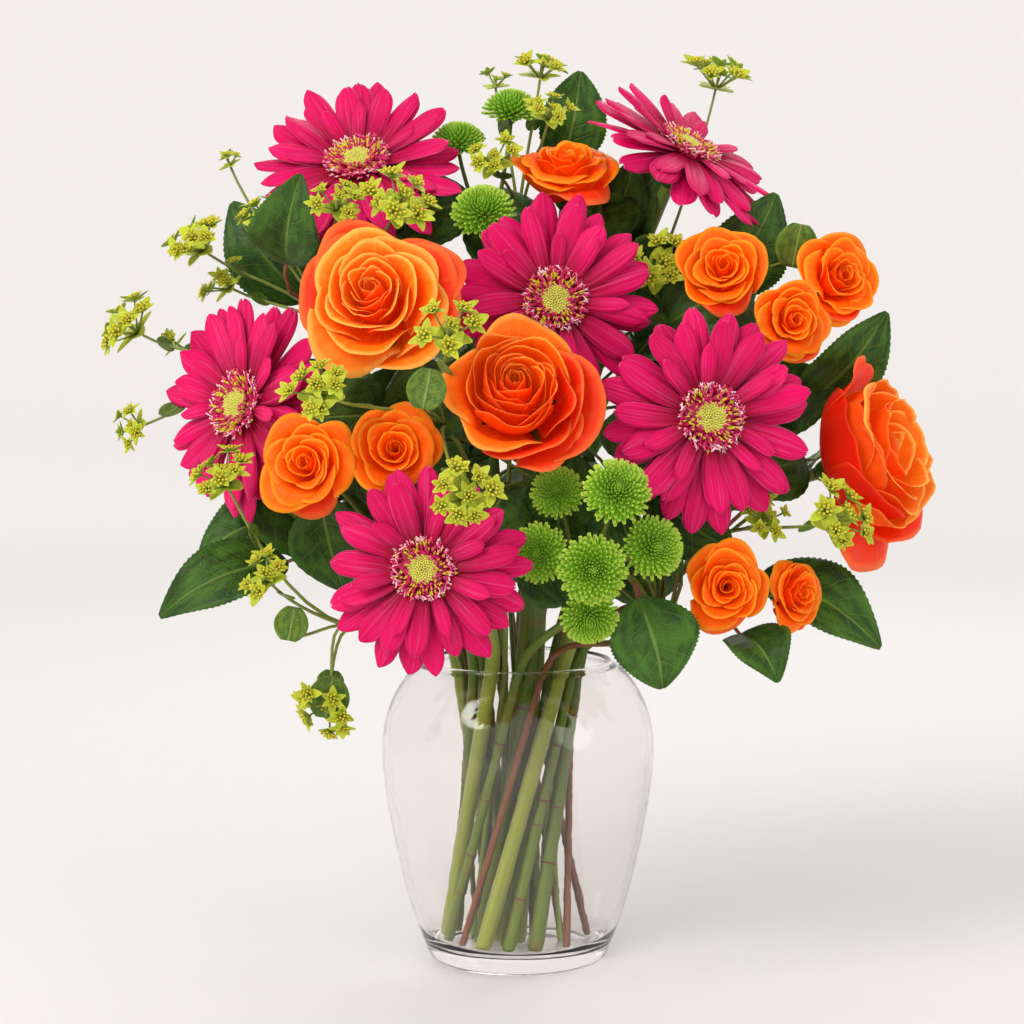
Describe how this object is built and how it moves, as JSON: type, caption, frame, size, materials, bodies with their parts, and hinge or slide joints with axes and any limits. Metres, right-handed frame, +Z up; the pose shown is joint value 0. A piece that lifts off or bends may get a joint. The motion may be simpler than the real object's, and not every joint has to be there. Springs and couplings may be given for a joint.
{
  "type": "gerberas in a vase",
  "caption": "Hand-tied bunch of hot pink gerberas, orange roses, green button mums and greens, standing in a clear glass vase.",
  "frame": {"origin": "centre of the vase's foot, on the surface it stands on", "axes": "+Z up along the vase's axis; the bunch's front faces -Y; +X to the right as seen from the front"},
  "size_m": [0.3989, 0.3156, 0.4538],
  "materials": {
    "vase_glass": "clear, fire-polished rim",
    "gerbera_petal": "satin, finely ribbed along the petal",
    "gerbera_disc": "rough florets",
    "gerbera_stem": "pale green, faintly downy",
    "rose_petal": "satin, velvety",
    "spray_rose_petal": "satin, velvety",
    "rose_stem": "green, smooth, with nodes",
    "mum_petal": "matt",
    "hares_ear": "matt",
    "leaf": "satin, waxy, with pale veins"
  },
  "bodies": {
    "root": {"vase": "vase_glass", "gerbera_1_petals": "gerbera_petal", "gerbera_1_disc": "gerbera_disc", "gerbera_1_stem": "gerbera_stem", "gerbera_2_petals": "gerbera_petal", "gerbera_2_disc": "gerbera_disc", "gerbera_2_stem": "gerbera_stem", "gerbera_3_petals": "gerbera_petal", "gerbera_3_disc": "gerbera_disc", "gerbera_3_stem": "gerbera_stem", "gerbera_4_petals": "gerbera_petal", "gerbera_4_disc": "gerbera_disc", "gerbera_4_stem": "gerbera_stem", "gerbera_5_petals": "gerbera_petal", "gerbera_5_disc": "gerbera_disc", "gerbera_5_stem": "gerbera_stem", "gerbera_6_petals": "gerbera_petal", "gerbera_6_disc": "gerbera_disc", "gerbera_6_stem": "gerbera_stem", "rose_1_bloom": "rose_petal", "rose_1_stem": "rose_stem", "rose_2_bloom": "rose_petal", "rose_2_stem": "rose_stem", "rose_3_bloom": "rose_petal", "rose_3_stem": "rose_stem", "spray_rose_1_bloom": "spray_rose_petal", "spray_rose_2_bloom": "spray_rose_petal", "spray_rose_3_bloom": "spray_rose_petal", "spray_rose_4_bloom": "spray_rose_petal", "spray_rose_5_bloom": "spray_rose_petal", "spray_rose_6_bloom": "spray_rose_petal", "spray_rose_7_bloom": "spray_rose_petal", "spray_rose_8_bloom": "spray_rose_petal", "spray_rose_stem_1": "rose_stem", "spray_rose_stem_2": "rose_stem", "spray_rose_stem_3": "rose_stem", "spray_rose_stem_4": "rose_stem", "mum_1_bloom": "mum_petal", "mum_2_bloom": "mum_petal", "mum_3_bloom": "mum_petal", "mum_4_bloom": "mum_petal", "mum_5_bloom": "mum_petal", "mum_6_bloom": "mum_petal", "mum_7_bloom": "mum_petal", "mum_8_bloom": "mum_petal", "mum_9_bloom": "mum_petal", "mum_stem_1": "rose_stem", "mum_stem_2": "rose_stem", "hares_ear_1": "hares_ear", "hares_ear_2": "hares_ear", "hares_ear_3": "hares_ear", "hares_ear_4": "hares_ear", "hares_ear_5": "hares_ear", "hares_ear_6": "hares_ear", "hares_ear_7": "hares_ear", "leafy_branch_1": "leaf", "leafy_branch_2": "leaf", "leafy_branch_3": "leaf", "leafy_branch_4": "leaf", "leafy_branch_5": "leaf"}
  },
  "joints": []
}
